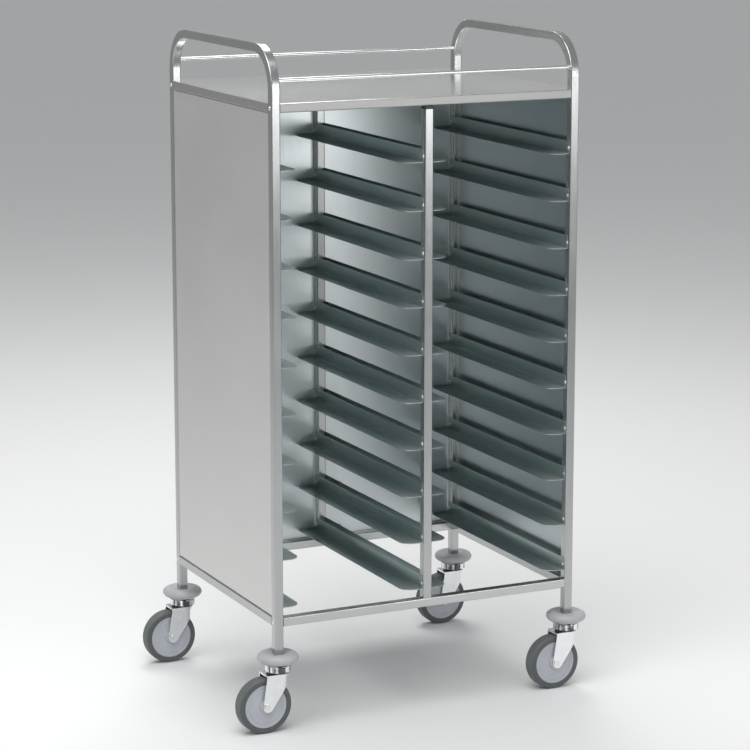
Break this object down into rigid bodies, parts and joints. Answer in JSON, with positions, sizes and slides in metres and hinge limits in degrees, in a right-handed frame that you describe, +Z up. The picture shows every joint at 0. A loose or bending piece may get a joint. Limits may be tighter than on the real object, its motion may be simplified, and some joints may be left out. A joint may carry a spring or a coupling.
{
  "type": "meal tray trolley",
  "caption": "Stainless steel meal tray trolley, closed on three sides, with two columns of tray guides, top shelf, gallery rods, bent tube handles and swivel casters",
  "frame": {"origin": "On the floor, under the middle of the trolley's box at rest, with the casters trailing towards -X", "axes": "+X to the right along the width, +Y from the open front to the back, +Z up"},
  "size_m": [0.851, 0.645, 1.474],
  "materials": {
    "tube_steel": "satin stainless tube",
    "shelf_steel": "satin stainless sheet",
    "panel_steel": "matt stainless sheet",
    "guide_steel": "mill finish stainless sheet",
    "rod_steel": "polished stainless rod",
    "screw_steel": "bright stainless fasteners",
    "caster_zinc": "bright zinc plated pressed steel",
    "bumper_plastic": "grey moulded plastic",
    "core_plastic": "grey moulded plastic",
    "tyre_rubber": "grey non-marking rubber"
  },
  "bodies": {
    "cart": {"left_frame": "tube_steel", "right_frame": "tube_steel", "front_bottom_rail": "tube_steel", "rear_bottom_rail": "tube_steel", "left_bottom_rail": "tube_steel", "right_bottom_rail": "tube_steel", "front_middle_post": "tube_steel", "rear_middle_post": "tube_steel", "top_shelf": "shelf_steel", "front_gallery_rod": "rod_steel", "rear_gallery_rod": "rod_steel", "left_side_panel": "panel_steel", "right_side_panel": "panel_steel", "left_rear_panel": "panel_steel", "right_rear_panel": "panel_steel", "left_tray_guides_01": "guide_steel", "left_tray_guides_02": "guide_steel", "left_tray_guides_03": "guide_steel", "left_tray_guides_04": "guide_steel", "left_tray_guides_05": "guide_steel", "left_tray_guides_06": "guide_steel", "left_tray_guides_07": "guide_steel", "left_tray_guides_08": "guide_steel", "left_tray_guides_09": "guide_steel", "left_tray_guides_10": "guide_steel", "right_tray_guides_01": "guide_steel", "right_tray_guides_02": "guide_steel", "right_tray_guides_03": "guide_steel", "right_tray_guides_04": "guide_steel", "right_tray_guides_05": "guide_steel", "right_tray_guides_06": "guide_steel", "right_tray_guides_07": "guide_steel", "right_tray_guides_08": "guide_steel", "right_tray_guides_09": "guide_steel", "right_tray_guides_10": "guide_steel", "front_left_stem": "caster_zinc", "front_left_bumper": "bumper_plastic", "front_right_stem": "caster_zinc", "front_right_bumper": "bumper_plastic", "rear_left_stem": "caster_zinc", "rear_left_bumper": "bumper_plastic", "rear_right_stem": "caster_zinc", "rear_right_bumper": "bumper_plastic", "dome_screws": "screw_steel"},
    "front_left_caster": {"front_left_fork": "caster_zinc", "front_left_axle_bolt": "screw_steel"},
    "front_left_wheel": {"front_left_wheel_core": "core_plastic", "front_left_tyre": "tyre_rubber"},
    "front_right_caster": {"front_right_fork": "caster_zinc", "front_right_axle_bolt": "screw_steel"},
    "front_right_wheel": {"front_right_wheel_core": "core_plastic", "front_right_tyre": "tyre_rubber"},
    "rear_left_caster": {"rear_left_fork": "caster_zinc", "rear_left_axle_bolt": "screw_steel"},
    "rear_left_wheel": {"rear_left_wheel_core": "core_plastic", "rear_left_tyre": "tyre_rubber"},
    "rear_right_caster": {"rear_right_fork": "caster_zinc", "rear_right_axle_bolt": "screw_steel"},
    "rear_right_wheel": {"rear_right_wheel_core": "core_plastic", "rear_right_tyre": "tyre_rubber"}
  },
  "joints": [
    {"name": "front_left_swivel", "type": "hinge", "parent": "cart", "child": "front_left_caster", "pos_m": [-0.3295, -0.2775, 0.1305], "axis": [0, 0, 1], "continuous": true},
    {"name": "front_left_roll", "type": "hinge", "parent": "front_left_caster", "child": "front_left_wheel", "pos_m": [-0.3645, -0.2775, 0.061], "axis": [0, 1, 0], "continuous": true},
    {"name": "front_right_swivel", "type": "hinge", "parent": "cart", "child": "front_right_caster", "pos_m": [0.3805, -0.2775, 0.1305], "axis": [0, 0, 1], "continuous": true},
    {"name": "front_right_roll", "type": "hinge", "parent": "front_right_caster", "child": "front_right_wheel", "pos_m": [0.3455, -0.2775, 0.061], "axis": [0, 1, 0], "continuous": true},
    {"name": "rear_left_swivel", "type": "hinge", "parent": "cart", "child": "rear_left_caster", "pos_m": [-0.3295, 0.2775, 0.1305], "axis": [0, 0, 1], "continuous": true},
    {"name": "rear_left_roll", "type": "hinge", "parent": "rear_left_caster", "child": "rear_left_wheel", "pos_m": [-0.3645, 0.2775, 0.061], "axis": [0, 1, 0], "continuous": true},
    {"name": "rear_right_swivel", "type": "hinge", "parent": "cart", "child": "rear_right_caster", "pos_m": [0.3805, 0.2775, 0.1305], "axis": [0, 0, 1], "continuous": true},
    {"name": "rear_right_roll", "type": "hinge", "parent": "rear_right_caster", "child": "rear_right_wheel", "pos_m": [0.3455, 0.2775, 0.061], "axis": [0, 1, 0], "continuous": true}
  ]
}
